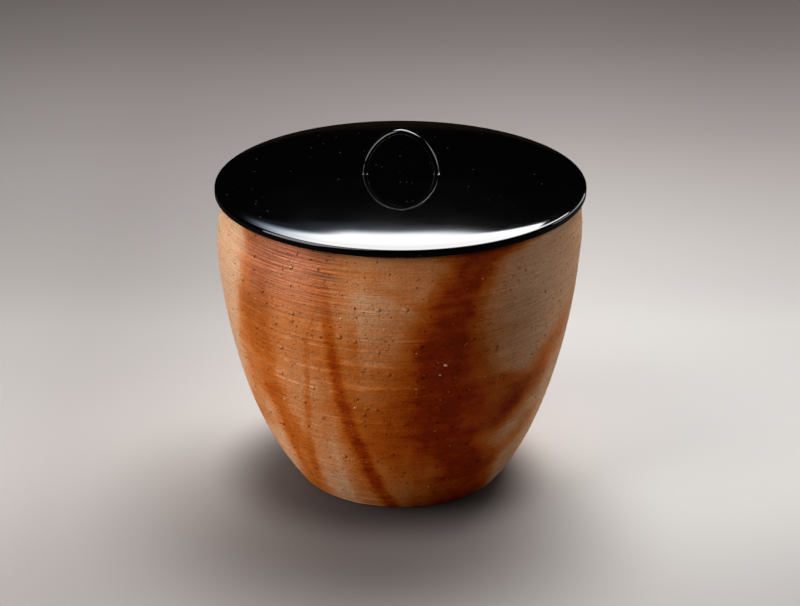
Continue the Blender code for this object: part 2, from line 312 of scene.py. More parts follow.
# Thin pale lines that a tool left: height in mm, first and last angle, half width in mm
TOOL_LINES = (
    (84, -60, 6, 1), (82, -52, -8, 0.7), (79, -52, -12, 0.6), (91, -56, -2, 0.7), (96.5, -32, 4, 0.7),
    (98, -24, 0, 0.5), (105, -44, -4, 0.5), (111, -20, 12, 0.4), (127, -34, 6, 0.4), (63, -34, -2, 0.3),
    (55, -40, -24, 0.4), (6.5, -26, 0, 0.5), (86, 10, 40, 0.3),
)
# Scratches that slant: angle and height of each end
SCRATCHES = (
    ((-21, 33), (-8, 40)), ((-18, 30), (-6, 34)), ((12, 47), (23, 57)), ((2, 60), (10, 68)),
    ((-50, 30), (-40, 33)), ((-46, 26), (-39, 27)), ((-12, 28), (-2, 31)),
)
SCRATCH_HALF_WIDTH = 0.16
SCRATCH_FADE = (0.1, 0.5, -0.6, 0)
TOOL_LINE_FADE = 8

# The clay's noises: repeats per metre round the jar and up it, detail and roughness
CLAY_NOISES = {
    "drift": (45, 45, 2, 0.5),
    "shiver": (260, 260, 3, 0.6),
    "lines": (28, 2500, 2, 0.6),
    "bands": (9, 230, 2, 0.5),
    "mottle": (110, 110, 3, 0.6),
    "grain": (1300, 1300, 2, 0.7),
    "sand": (520, 520, 3, 0.65),
    "breaks": (150, 150, 2, 0.5),
}
INSIDE_NOISES = {
    "mottle": (60, 60, 3, 0.6),
    "grain": (900, 900, 2, 0.7),
    "lines": (20, 700, 2, 0.6),
}
# How far noises move something: wide and thin marks in degrees, the fire's share and the clay's shade
WIDE_MARK_DRIFT = {"drift": 7, "shiver": 4, "lines": 5}
THIN_MARK_DRIFT = {"drift": 1.5, "shiver": 2}
FIRE_DRIFT = {"lines": 0.30, "mottle": 0.36, "bands": 0.20, "sand": 0.10}
SHADE_DRIFT = {"grain": 0.8, "lines": 0.95, "sand": 0.35}
INSIDE_SHADE_DRIFT = {"grain": 0.4}
# Scattered spots: stretch up the wall, pitch in mm, share of places with one, radii in mm
SPOTS = {
    "pit": (1, 3.6, 0.45, 0.28, 0.95),
    "speck": (1, 1.4, 0.45, 0.12, 0.30),
    "bump": (1.3, 2.9, 0.5, 0.45, 0.9),
    "knob": (1.15, 6.2, 0.5, 0.75, 1.9),
}
SPOT_CORE = 0.4
RAGGED_SCALE = 1400
RAGGED_SIZE = 0.7 * MM
# How far each of them stands out of the wall, in mm
RELIEF = {
    "grain": 0.35, "sand": 0.55, "lines": 0.65, "mottle": 0.6,
    "pit": -0.8, "bump": 0.9, "knob": 1.4, "lined": -0.08,
}
INSIDE_RELIEF = {"grain": 0.12, "lines": 0.2}

# Smooth changes, as a value's low and high end and what comes out at each; heights are in mm
# The painted sheen at the top left: its angle, how it rises up the wall and how it fades to the sides
PAINTED_SHEEN_ANGLE = -41
PAINTED_SHEEN_RISE = (108, 150, 0, 0.55)
PAINTED_SHEEN_FADE = (6, 24, 1, 0)
# Painted light: the wall is painted lighter towards the foot, most at its lowest edge
PAINTED_LIGHT_UP_WALL = (0, 100, 1.43, 0.99)
PAINTED_LIGHT_AT_FOOT = (0, 14, 1.15, 1)
GROOVE = (0.42, 0.56, 1, 0)
LINE_BREAKS = (0.38, 0.60, 0, 1)
FIRE_GLOSS = (0.1, 0.8, 0.78, 0.55)
INSIDE_WARMTH = (0.3, 0.7, 0, 1)
INSIDE_TAN = (0.2, 1, 0, 1)
FIRE_GAIN = 1.05
ASH_SHARE = 0.8
CLAY_SHEEN = 0.03
INSIDE_ROUGHNESS = 0.72
STONE_SHEEN = 0.15
STONE_ROUGHNESS = 0.7
STONE_NOISE = (2500, 2500, 2, 0.5)
STONE_DRIFT = {"grain": 0.5}
STONE_BUMP = (0.5, 0.2 * MM)
STONE_STOPS = ((0.1, GRIT_WARM), (0.7, TAN_CLAY), (1.0, GRIT_PALE))

# The lacquer's slight haze, and the dust on the lid, its radii as shares of its pitch
HAZE_NOISE = (35, 35, 3, 0.6)
HAZE_RANGE = (0.3, 0.8)
HAZE_ROUGHENING = 1.5
HAZE_BRIGHTENING = 1.6
LACQUER_IOR = 1.5
LID_ROUGHNESS = 0.045
HANDLE_ROUGHNESS = 0.03
DUST_SCALE = 320
DUST_RADII = (0.06, 0.16)
DUST_ABOVE = 0.91
DUST_SHARE = 0.09


def cubic(start, pull_start, pull_end, end, count):
    """count points of a cubic curve in the plane, as rows of (radius, height)."""
    t = np.linspace(0, 1, count)[:, None]
    s = 1 - t
    start, pull_start, pull_end, end = (np.array(p, float) for p in (start, pull_start, pull_end, end))
    return s**3 * start + 3 * s * s * t * pull_start + 3 * s * t * t * pull_end + t**3 * end


def arc(centre, radii, start, end, count):
    """count points of a circle's or, with two radii, an ellipse's arc; its ends are in quarter turns."""
    angles = math.pi / 2 * np.linspace(start, end, count)
    return np.add(centre, np.multiply(radii, np.column_stack((np.cos(angles), np.sin(angles)))))


def jar_outside():
    """The outer side from the base's edge up to where the lip begins."""
    foot = np.array((FOOT_RADIUS, FOOT_ROUNDING))
    flare = np.array((math.sin(FLARE_ANGLE), math.cos(FLARE_ANGLE)))
    belly = np.array((BELLY_RADIUS, BELLY_HEIGHT))
    rim = np.array((RIM_RADIUS, JAR_HEIGHT - LIP_ROUNDING))
    upright = np.array((0.0, 1.0))
    rise = rim[1] - BELLY_HEIGHT
    foot_pull = foot + FLARE_PULL_SHARE * BELLY_HEIGHT * flare
    lower = cubic(foot, foot_pull, belly - BELLY_PULL_SHARE * BELLY_HEIGHT * upright, belly, FLARE_ROWS)
    pull = SHOULDER_PULL_SHARE * rise * upright
    upper = cubic(belly, belly + pull, rim - pull, rim, SHOULDER_ROWS)
    return np.vstack((lower, upper[1:]))


OUTSIDE = jar_outside()


def jar_inside():
    """The inner side from the middle of the hollow's floor up to the lip."""
    along = np.gradient(OUTSIDE, axis=0)
    along /= np.linalg.norm(along, axis=1)[:, None]
    inner = OUTSIDE + WALL * np.column_stack((-along[:, 1], along[:, 0]))
    inner = inner[inner[:, 1] > FLOOR_THICKNESS + FLOOR_CORNER][::3]
    inner[-1] = (RIM_RADIUS - WALL, JAR_HEIGHT - LIP_ROUNDING)
    down = inner[0] - inner[1]
    floor_edge = inner[0, 0] + down[0] * (inner[0, 1] - FLOOR_THICKNESS) / -down[1]
    corner = (floor_edge, FLOOR_THICKNESS)
    flat = [(floor_edge * share, FLOOR_THICKNESS) for share in FLOOR_SHARES]
    bend = cubic((floor_edge - FLOOR_CORNER, FLOOR_THICKNESS), corner, corner, inner[0], 12)
    return np.vstack((flat, bend[:-1], inner))


def ripple(heights, angles, pitches, depth, seed):
    """Rings left by the fingers: waves up the wall that wander a little as they go round it."""
    draw = random.Random(seed)
    total = np.zeros((len(heights), len(angles)))
    for pitch in pitches:
        turns = draw.choice((-1, 0, 1))
        sway = RIPPLE_SWAY * np.sin(draw.choice((2, 3, 4)) * angles + draw.uniform(0, math.tau))
        climb = math.tau * heights[:, None] / (pitch * MM)
        total += np.sin(climb + turns * angles + sway + draw.uniform(0, math.tau))
    return depth * total / len(pitches)


def out_of_round(angles):
    """How far the wall stands out from a true circle."""
    return -OVAL * np.cos(2 * angles) + TRIANGLE * np.cos(3 * angles + TRIANGLE_TURN)


def lean(heights):
    """How far the wall stands beside the axis: none at the base, to the left higher up, back at the rim."""
    rising = 1 - np.exp(-((heights / LEAN_REACH) ** 2))
    share = np.clip((heights - LEAN_BACK_HEIGHT) / (JAR_HEIGHT - LEAN_BACK_HEIGHT), 0, 1)
    back = share * share * (3 - 2 * share)
    return -LEAN * rising * (1 - LEAN_BACK_SHARE * back)


def placed(name, data):
    """A new object in the scene."""
    made = bpy.data.objects.new(name, data)
    bpy.context.scene.collection.objects.link(made)
    return made


def mesh_object(name, points, faces, materials):
    """A smooth mesh object with its faces pointing out."""
    mesh = bpy.data.meshes.new(name)
    mesh.from_pydata([tuple(p) for p in points], [], faces)
    made = bmesh.new()
    made.from_mesh(mesh)
    bmesh.ops.recalc_face_normals(made, faces=made.faces)
    made.to_mesh(mesh)
    made.free()
    for material in materials:
        mesh.materials.append(material)
    mesh.shade_smooth()
    return placed(name, mesh)


def grid_faces(rows, columns):
    """Quads between neighbouring rows of points that each close on themselves."""
    faces = []
    for i in range(rows - 1):
        low = i * columns
        for j in range(columns):
            k = (j + 1) % columns
            faces.append((low + j, low + k, low + columns + k, low + columns + j))
    return faces


def fan(centre, row, columns):
    """Triangles from a row of points to the one in its middle."""
    return [(centre, row + (j + 1) % columns, row + j) for j in range(columns)]


def capped_turning(name, grid, low_middle, high_middle, materials):
    """A closed piece from a grid of rows of points, with a middle point at either end."""
    rows, columns = grid.shape[:2]
    points = np.vstack((grid.reshape(-1, 3), low_middle, high_middle))
    count = rows * columns
    faces = grid_faces(rows, columns)
    faces += fan(count, 0, columns)
    faces += fan(count + 1, (rows - 1) * columns, columns)
    return mesh_object(name, points, faces, materials)


def turned_points(radii, heights, angles):
    """Rows of points round the axis; radii has a value for each row and angle."""
    across = radii * np.sin(angles)
    away = -radii * np.cos(angles)
    up = np.broadcast_to(heights[:, None], radii.shape)
    return np.stack((across, away, up), axis=-1)


def jar_rows():
    """The whole outline, and which of its rows start the wall, top the lip and start the inside."""
    base = [(FOOT_RADIUS * share, 0.0) for share in BASE_SHARES]
    edge = arc((FOOT_RADIUS - FOOT_ROUNDING, FOOT_ROUNDING), FOOT_ROUNDING, -1, 0, 5)
    lip_middle = (RIM_RADIUS - WALL / 2, JAR_HEIGHT - LIP_ROUNDING)
    lip = arc(lip_middle, (WALL / 2, LIP_ROUNDING), 0, 2, 15)[1:-1]
    outline = np.vstack((base, edge[:-1], OUTSIDE, lip, jar_inside()[::-1]))
    wall_start = len(base) + len(edge) - 1
    inside_start = wall_start + len(OUTSIDE) + len(lip)
    return outline, wall_start, inside_start - len(lip) // 2, inside_start


def faded(values, reach):
    """0 up to 1 over a reach, as a column."""
    return np.clip(values / reach, 0, 1)[:, None]


def rings(heights, angles, wall_start, inside_start):
    """The ripples of the outer and the inner side, calmer near the foot, the rim and the floor."""
    outer = ripple(heights, angles, OUTER_RIPPLES, OUTER_RIPPLE_DEPTH, seed=11)
    inner = ripple(heights, angles, INNER_RIPPLES, INNER_RIPPLE_DEPTH, seed=12)
    row = np.arange(len(heights))[:, None]
    on_wall = (row >= wall_start) & (row < inside_start)
    at_foot = FOOT_RIPPLE_SHARE + (1 - FOOT_RIPPLE_SHARE) * faded(heights, RIPPLE_FADE)
    at_rim = faded(JAR_HEIGHT - heights, RIPPLE_FADE)
    at_floor = faded(heights - FLOOR_THICKNESS - FLOOR_CORNER, INNER_RIPPLE_FADE)
    outside = np.where(on_wall, outer * at_foot, 0.0)
    return np.where(row >= inside_start, inner * at_rim * at_floor, outside)


def jar_stoneware(outside_look, inside_look):
    """The thrown jar: finger rings, a wall slightly out of round and an uneven foot."""
    angles = np.linspace(0, math.tau, COLUMNS, endpoint=False)
    outline, wall_start, lip_top, inside_start = jar_rows()
    heights, radii = outline[:, 1], outline[:, :1]
    full = radii + rings(heights, angles, wall_start, inside_start)
    full += out_of_round(angles) * np.clip(radii / FOOT_RADIUS, 0, 1)
    chipped = np.clip(1 - heights / FOOT_UNEVEN_REACH, 0, 1)[:, None] * (radii > CHIPPED_FROM)
    slow, fast = FOOT_WAVES
    full -= chipped * FOOT_UNEVEN * (0.5 + 0.5 * np.sin(slow * angles + 1.0) * np.sin(fast * angles))
    grid = turned_points(full, heights, angles)
    grid[..., 0] += lean(heights)[:, None]
    looks = (outside_look, inside_look)
    piece = capped_turning("jar_stoneware", grid, (0, 0, 0), (0, 0, FLOOR_THICKNESS), looks)
    faces = piece.data.polygons
    for face in (*faces[lip_top * COLUMNS:(len(outline) - 1) * COLUMNS], *faces[-COLUMNS:]):
        face.material_index = 1
    return piece


def wall_point(angle, height, out):
    """A point at a distance out from the jar's outer wall; angle in degrees, height in metres."""
    turn = math.radians(angle)
    radius = np.interp(height, OUTSIDE[:, 1], OUTSIDE[:, 0]) + out_of_round(turn) + out
    return Vector((radius * math.sin(turn) + lean(height), -radius * math.cos(turn), height))


def add_grit(made, angle, height, radius, draw):
    """One small angular stone in the wall."""
    place = wall_point(angle, height, -GRIT_SINK_SHARE * radius)
    ball = bmesh.ops.create_icosphere(made, subdivisions=1, radius=radius)["verts"]
    stretch = Vector([draw.uniform(*span) for span in GRIT_STRETCH])
    offset = Vector([draw.uniform(-GRIT_NOISE_REACH, GRIT_NOISE_REACH) for _ in range(3)])
    for vertex in ball:
        rough = 1 + GRIT_ROUGHNESS * noise.noise(vertex.co / radius + offset)
        vertex.co = place + Vector(a * b for a, b in zip(vertex.co, stretch)) * rough


def clay_grits(look):
    """Pale stones that stand a little out of the clay."""
    draw = random.Random(GRIT_SEED)
    made = bmesh.new()
    for angle, height, radius in BIG_GRITS:
        add_grit(made, angle, height * MM, radius * MM, draw)
    small, large = GRIT_RADIUS_RANGE
    for _ in range(GRIT_COUNT):
        angle = draw.uniform(-180, 180)
        height = draw.uniform(*GRIT_HEIGHT_SHARES) * JAR_HEIGHT
        add_grit(made, angle, height, small + (large - small) * draw.random() ** 2, draw)
    mesh = bpy.data.meshes.new("clay_grits")
    made.to_mesh(mesh)
    made.free()
    mesh.materials.append(look)
    mesh.shade_smooth()
    return placed("clay_grits", mesh)


def lid_surface(radius):
    """How high the lid's shallow dome is at a radius, with its edge rolled down a little."""
    into_edge = np.maximum(0.0, 1 - (LID_RADIUS - radius) / LID_EDGE_WIDTH)
    return LID_TOP - LID_DOME_RISE * (radius / LID_RADIUS) ** 2 - LID_EDGE_DROP * into_edge**3


def lid_rows():
    """From near the top's middle over the edge, in under the rim, down the ring and back in."""
    edge = LID_RADIUS - LID_TOP_ROUNDING
    bottom = LID_TOP - LID_DOME_RISE - LID_EDGE_DROP - LID_RIM_HEIGHT
    radii = np.linspace(0, edge, LID_ROWS + 1)[1:]
    dome = np.column_stack((radii, lid_surface(radii)))
    over = arc((edge, lid_surface(edge) - LID_TOP_ROUNDING), LID_TOP_ROUNDING, 1, 0, 9)[1:]
    side_top, side_bottom = over[-1][1], bottom + LID_UNDER_ROUNDING
    side = [(LID_RADIUS, side_top + (side_bottom - side_top) * share) for share in (0.33, 0.67)]
    under = arc((LID_RADIUS - LID_UNDER_ROUNDING, side_bottom), LID_UNDER_ROUNDING, 0, -1, 6)
    seat = [(RING_RADIUS + SEAT_WIDTH, bottom), (RING_RADIUS + RING_ROUNDING / 2, bottom)]
    inner = RING_RADIUS - RING_WIDTH
    level = bottom - RING_HEIGHT + RING_ROUNDING
    ring = np.vstack((
        [(RING_RADIUS, bottom - RING_ROUNDING / 2)],
        arc((RING_RADIUS - RING_ROUNDING, level), RING_ROUNDING, 0, -1, 5),
        arc((inner + RING_ROUNDING, level), RING_ROUNDING, -1, -2, 5),
    ))
    radii = np.linspace(inner, 0, 13)[:-1]
    hollow = np.column_stack((radii, lid_surface(radii) - PANEL_THICKNESS))
    return np.vstack((dome, over, side, under, seat, ring, hollow))


def lid_lacquer(look):
    """The turned lid with the ring under it."""
    rows = lid_rows()[::-1]
    angles = np.linspace(0, math.tau, LID_COLUMNS, endpoint=False)
    radii = np.repeat(rows[:, :1], LID_COLUMNS, axis=1)
    grid = turned_points(radii, rows[:, 1], angles)
    low, high = (0, 0, LID_TOP - PANEL_THICKNESS), (0, 0, LID_TOP)
    return capped_turning("lid_lacquer", grid, low, high, (look,))


def superellipse(turn, half_width, height):
    """A point of the arch, as (x, height above the feet)."""
    power = 2 / ARCH_EXPONENT
    reach = math.copysign(abs(math.cos(turn)) ** power, math.cos(turn))
    return Vector((half_width * reach, height * max(math.sin(turn), 0.0) ** power))


def strip_section(thickness, flare):
    """The strip's section as rows of (across its thickness, along its depth), once round."""
    half = thickness / 2
    points = [(half - drop * MM + flare, (HANDLE_HALF_DEPTH + flare) * share) for share, drop in STRIP_CROWN]
    low = -half + STRIP_ROUNDING - flare
    side = HANDLE_HALF_DEPTH - STRIP_ROUNDING + flare
    for middle, start in ((-side, -2), (side, -1)):
        points += arc((middle, low), STRIP_ROUNDING, start, start + 1, 5)[:, ::-1].tolist()
    return points


def lid_handle_strip(look):
    """The bent strip, crowned on its outer face and flared where its feet meet the lid."""
    seat = float(lid_surface(HANDLE_HALF_WIDTH))
    height = HANDLE_TOP - seat
    turns = STRIP_TURNS + [math.pi - turn for turn in reversed(STRIP_TURNS[:-1])]
    rows = []
    for turn in turns:
        outer = superellipse(turn, HANDLE_HALF_WIDTH, height)
        inner = superellipse(turn, HANDLE_HALF_WIDTH - STRIP_FOOT_THICKNESS, height - STRIP_TOP_THICKNESS)
        middle_point, across = (outer + inner) / 2, outer - inner
        thickness = across.length
        across.normalize()
        lift = max(0.0, FOOT_FILLET - middle_point.y)
        flare = FOOT_FILLET - math.sqrt(FOOT_FILLET**2 - lift**2)
        row = []
        for u, v in strip_section(thickness, flare):
            x = middle_point.x + u * across.x
            z = seat + middle_point.y + u * across.y
            if turn in (turns[0], turns[-1]):
                z = float(lid_surface(math.hypot(x, v))) - FOOT_SINK
            row.append((x, v, z))
        rows.append(row)
    columns = len(rows[0])
    points = [point for row in rows for point in row]
    faces = grid_faces(len(rows), columns)
    faces.append(tuple(range(columns)))
    faces.append(tuple(range(len(points) - columns, len(points))))
    return mesh_object("lid_handle_strip", points, faces, (look,))


class Graph:
    """Short calls that add nodes to a material or world and wire them together."""

    def __init__(self, owner):
        owner.use_nodes = True
        self.tree = owner.node_tree
        self.tree.nodes.clear()

    def add(self, kind, inputs=None, **settings):
        made = self.tree.nodes.new(kind)
        for name, value in settings.items():
            setattr(made, name, value)
        for name, value in (inputs or {}).items():
            self.put(made.inputs[name], value)
        return made

    def put(self, socket, value):
        if isinstance(value, bpy.types.NodeSocket):
            self.tree.links.new(value, socket)
        elif socket.type == "RGBA":
            socket.default_value = (*value, 1.0)
        else:
            socket.default_value = value

    def math(self, operation, *values):
        made = self.add("ShaderNodeMath", operation=operation)
        for socket, value in zip(made.inputs, values):
            self.put(socket, value)
        return made.outputs[0]

    def smooth(self, value, low, high, start=0.0, end=1.0):
        """value's smooth change from start, at low, to end, at high."""
        inputs = {"Value": value, "From Min": low, "From Max": high, "To Min": start, "To Max": end}
        return self.add("ShaderNodeMapRange", inputs, interpolation_type="SMOOTHSTEP").outputs["Result"]

    def mix(self, share, first, second):
        """A colour between two."""
        made = self.add("ShaderNodeMix", data_type="RGBA")
        for index, value in ((0, share), (6, first), (7, second)):
            self.put(made.inputs[index], value)
        return made.outputs[2]

    def ramp(self, value, stops):
        """A colour from stops of (place, colour)."""
        made = self.add("ShaderNodeValToRGB", {"Fac": value})
        elements = made.color_ramp.elements
        while len(elements) < len(stops):
            elements.new(0.5)
        for element, (place, color) in zip(elements, stops):
            element.position = place
            element.color = (*color, 1.0)
        return made.outputs["Color"]

    def noise(self, vector, across, up, detail, roughness):
        """A noise with so many repeats per metre sideways and upwards."""
        places = self.vector("MULTIPLY", vector, (across, across, up))
        inputs = {"Vector": places, "Scale": 1.0, "Detail": detail, "Roughness": roughness}
        return self.add("ShaderNodeTexNoise", inputs).outputs["Fac"]

    def noises(self, vector, table):
        return {name: self.noise(vector, *values) for name, values in table.items()}

    def vector(self, operation, first, second):
        return self.add("ShaderNodeVectorMath", {0: first, 1: second}, operation=operation).outputs[0]

    def scaled(self, vector, size):
        """A vector or colour times one number."""
        return self.add("ShaderNodeVectorMath", {0: vector, "Scale": size}, operation="SCALE").outputs[0]

    def tinted(self, color, share, tint):
        """color times tint, as far as share says."""
        return self.vector("MULTIPLY", color, self.mix(share, (1, 1, 1), tint))

    def product(self, *values):
        """All the values multiplied."""
        total = values[0]
        for value in values[1:]:
            total = self.math("MULTIPLY", total, value)
        return total

    def less(self, value):
        """What is missing from value to 1."""
        return self.math("SUBTRACT", 1.0, value)

    def apart(self, first, second):
        """How far two values are apart."""
        return self.math("ABSOLUTE", self.math("SUBTRACT", first, second))

    def places(self):
        return self.add("ShaderNodeTexCoord").outputs["Object"]

    def parts(self, vector):
        return self.add("ShaderNodeSeparateXYZ", {0: vector}).outputs

    def bump(self, height, strength=1.0, distance=MM):
        """The normal of a surface with this relief."""
        inputs = {"Strength": strength, "Distance": distance, "Height": height}
        return self.add("ShaderNodeBump", inputs).outputs["Normal"]

    def surface(self, inputs):
        """The material's shader, with these values and node outputs in its sockets."""
        shader = self.add("ShaderNodeBsdfPrincipled", inputs)
        self.add("ShaderNodeOutputMaterial", {"Surface": shader.outputs[0]})


def new_material(name):
    material = bpy.data.materials.new(name)
    return material, Graph(material)


ANGLE_SPAN = 180
WIDTH_SPAN = 45
CURVE_RANGE = 2
WIDE_MARK = 6


def wall_places(graph):
    """Object coordinates, angle in degrees, height as a share from -1 to 1, and height in metres."""
    places = graph.places()
    x, y, z = graph.parts(places)
    angle = graph.math("DEGREES", graph.math("ARCTAN2", x, graph.product(y, -1)))
    height = graph.math("MULTIPLY_ADD", z, CURVE_RANGE / JAR_HEIGHT, -1.0)
    return places, angle, height, z


def fire_mark(graph, angle, height3, rows, softness, rest):
    """The rest of the bare clay once this mark lies on it too."""
    curves = graph.add("ShaderNodeVectorCurve", {"Vector": height3})
    columns = ((1, ANGLE_SPAN), (2, WIDTH_SPAN), (3, 1.0))
    for curve, (column, span) in zip(curves.mapping.curves, columns):
        knots = [(CURVE_RANGE * row[0] * MM / JAR_HEIGHT - 1, row[column] / span) for row in rows]
        if knots[0][0] > -1:
            knots.insert(0, (-1.0, knots[0][1]))
        if knots[-1][0] < 1:
            knots.append((1.0, knots[-1][1]))
        while len(curve.points) < len(knots):
            curve.points.new(0, 0)
        for point, knot in zip(curve.points, knots):
            point.location = (min(knot[0], 1.0), knot[1])
            point.handle_type = "AUTO_CLAMPED"
    curves.mapping.update()
    parts = graph.parts(curves.outputs[0])
    centre = graph.product(parts[0], ANGLE_SPAN)
    off = graph.math("ABSOLUTE", graph.math("WRAP", graph.math("SUBTRACT", angle, centre), 180, -180))
    near, far = (graph.product(parts[1], WIDTH_SPAN * reach) for reach in (1 - softness, 1 + softness))
    taken = graph.smooth(off, near, far, graph.product(parts[2], -1), 0)
    return graph.math("MULTIPLY_ADD", rest, taken, rest)


def tool_line(graph, angle, height_mm, line, rest):
    """What is left unlined by this thin level line too."""
    level, first, last, half_width = line
    thin = graph.smooth(graph.apart(height_mm, level), 0, half_width * 2, 1, 0)
    starts = graph.smooth(angle, first, first + TOOL_LINE_FADE)
    ends = graph.smooth(angle, last - TOOL_LINE_FADE, last, 1, 0)
    taken = graph.product(starts, ends, graph.product(thin, -1))
    return graph.math("MULTIPLY_ADD", rest, taken, rest)


def scratch(graph, angle, height_mm, ends, rest):
    """What is left unscratched by this one too."""
    (first, low), (last, high) = ends
    along = graph.math("DIVIDE", graph.math("SUBTRACT", angle, first), last - first)
    off = graph.apart(height_mm, graph.math("MULTIPLY_ADD", along, high - low, low))
    thin = graph.smooth(off, 0, SCRATCH_HALF_WIDTH * 2, 1, 0)
    taken = graph.product(thin, graph.smooth(graph.apart(along, 0.5), *SCRATCH_FADE))
    return graph.math("MULTIPLY_ADD", rest, taken, rest)


def dots(graph, places, stretch, pitch, share, small, large):
    """Scattered round spots: 1 in a spot and 0 beside it. Pitch and radii are in mm."""
    vector = graph.vector("MULTIPLY", places, (1, 1, stretch))
    cells = graph.add("ShaderNodeTexVoronoi", {"Vector": vector, "Scale": 1 / (pitch * MM)}).outputs
    draw = graph.add("ShaderNodeSeparateColor", {0: cells["Color"]}).outputs
    radius = graph.math("MULTIPLY_ADD", draw[1], (large - small) / pitch, small / pitch)
    spot = graph.smooth(cells["Distance"], graph.product(radius, SPOT_CORE), radius, 1, 0)
    return graph.product(spot, graph.math("LESS_THAN", draw[0], share))


def marked(graph, wide, thin, height3, marks):
    """The rest of the bare clay under a set of marks. A mark that starts wide has the wide edge."""
    rest = 1.0
    for softness, rows in marks.values():
        angle = wide if rows[0][2] > WIDE_MARK else thin
        rest = fire_mark(graph, angle, height3, rows, softness, rest)
    return rest


def shifted(graph, value, noises, sizes):
    """value moved by noises, each of about the size that is given for it."""
    for name, size in sizes.items():
        value = graph.math("MULTIPLY_ADD", graph.math("SUBTRACT", noises[name], 0.5), size, value)
    return value


def raised(graph, layers, sizes):
    """The relief that layers make together."""
    relief = 0.0
    for name, size in sizes.items():
        relief = graph.math("MULTIPLY_ADD", layers[name], size, relief)
    return relief


def scored(graph, angle, wide, height_mm, breaks):
    """Where a tool left a line or a scratch."""
    unlined = unscratched = 1.0
    for line in TOOL_LINES:
        unlined = tool_line(graph, angle, height_mm, line, unlined)
    for ends in SCRATCHES:
        unscratched = scratch(graph, wide, height_mm, ends, unscratched)
    lined = graph.product(graph.less(unlined), graph.smooth(breaks, *LINE_BREAKS))
    return graph.math("MAXIMUM", lined, graph.less(unscratched))


def spots(graph, places):
    """Pits, specks, bumps and knobs, each with a ragged edge."""
    ragged = graph.add("ShaderNodeTexNoise", {"Vector": places, "Scale": RAGGED_SCALE})
    places = graph.vector("ADD", places, graph.scaled(ragged.outputs["Color"], RAGGED_SIZE))
    return {name: dots(graph, places, *values) for name, values in SPOTS.items()}


def fired_color(graph, fire, clear, wide, height_mm):
    """The clay's colour where the fire marked it so far, with a painted sheen at the top and with smoke and
    painted shade.
    """
    color = graph.ramp(fire, FIRE_COLORS)
    # The painted sheen, pinker near its angle and towards the top
    beside = graph.smooth(graph.apart(wide, PAINTED_SHEEN_ANGLE), *PAINTED_SHEEN_FADE)
    painted_sheen_share = graph.product(beside, graph.smooth(height_mm, *PAINTED_SHEEN_RISE))
    return graph.tinted(graph.mix(painted_sheen_share, color, PAINTED_SHEEN_COLOR), graph.less(clear), SMOKE_AND_SHADE_TINT)


def stoneware_outside():
    """Bare clay with marks of fire, smoke and ash, throwing lines, scratches, pits and bumps, with a painted
    sheen at the top, painted shade on the right, near the foot and in the pits, and painted light low on the
    wall.
    """
    material, graph = new_material("fire_marked_stoneware")
    places, angle, height, z = wall_places(graph)
    height_mm = graph.product(z, 1 / MM)
    height3 = graph.add("ShaderNodeCombineXYZ", {0: height, 1: height, 2: height}).outputs[0]
    layers = graph.noises(places, CLAY_NOISES)
    wide = shifted(graph, angle, layers, WIDE_MARK_DRIFT)
    thin = shifted(graph, angle, layers, THIN_MARK_DRIFT)
    bare = marked(graph, wide, thin, height3, {**FRONT_MARKS, **BACK_MARKS})
    # What smoke and painted shade leave of the clay's brightness
    clear = marked(graph, wide, wide, height3, SMOKE_AND_SHADE_MARKS)
    ashy = graph.less(marked(graph, thin, thin, height3, STRIPE_MARKS))
    fire = shifted(graph, graph.product(graph.less(bare), FIRE_GAIN), layers, FIRE_DRIFT)

    color = fired_color(graph, fire, clear, wide, height_mm)
    # Painted light low on the wall and at the foot, times the smoke and painted shade
    upwards = graph.smooth(height_mm, *PAINTED_LIGHT_UP_WALL)
    shade = graph.product(clear, graph.product(upwards, graph.smooth(height_mm, *PAINTED_LIGHT_AT_FOOT)))
    color = graph.scaled(color, shifted(graph, shade, layers, SHADE_DRIFT))
    groove = graph.product(graph.smooth(layers["lines"], *GROOVE), ASH_SHARE)
    color = graph.mix(graph.product(ashy, groove), color, ASH_DARK)

    layers["lined"] = scored(graph, angle, wide, height_mm, layers["breaks"])
    layers.update(spots(graph, places))
    standing = graph.math("MAXIMUM", layers["bump"], layers["knob"])
    color = graph.tinted(color, layers["lined"], TOOL_TINT)
    # Painted shade darkens the pits
    color = graph.tinted(color, layers["pit"], PIT_PAINTED_SHADE)
    color = graph.tinted(color, layers["speck"], SPECK_TINT)
    graph.surface({
        "Base Color": graph.tinted(color, standing, BUMP_TINT),
        "Roughness": graph.smooth(fire, *FIRE_GLOSS),
        "Specular IOR Level": CLAY_SHEEN,
        "Normal": graph.bump(raised(graph, layers, RELIEF)),
    })
    return material


def stoneware_inside():
    """The unmarked clay of the hollow, darker towards the floor."""
    material, graph = new_material("stoneware_inside")
    places, _, height, _ = wall_places(graph)
    layers = graph.noises(places, INSIDE_NOISES)
    warm = graph.mix(graph.smooth(layers["mottle"], *INSIDE_WARMTH), INSIDE_CLAY, WARM_CLAY)
    color = graph.mix(graph.smooth(height, *INSIDE_TAN), warm, TAN_CLAY)
    graph.surface({
        "Base Color": graph.scaled(color, shifted(graph, 1.0, layers, INSIDE_SHADE_DRIFT)),
        "Roughness": INSIDE_ROUGHNESS,
        "Normal": graph.bump(raised(graph, layers, INSIDE_RELIEF)),
    })
    return material


def pale_stone():
    """The grits, each a little paler or warmer than the next."""
    material, graph = new_material("pale_grit")
    layers = {
        "stone": graph.add("ShaderNodeNewGeometry").outputs["Random Per Island"],
        "grain": graph.noise(graph.places(), *STONE_NOISE),
    }
    share = shifted(graph, layers["stone"], layers, STONE_DRIFT)
    graph.surface({
        "Base Color": graph.ramp(share, STONE_STOPS),
        "Roughness": STONE_ROUGHNESS,
        "Specular IOR Level": STONE_SHEEN,
        "Normal": graph.bump(layers["grain"], *STONE_BUMP),
    })
    return material


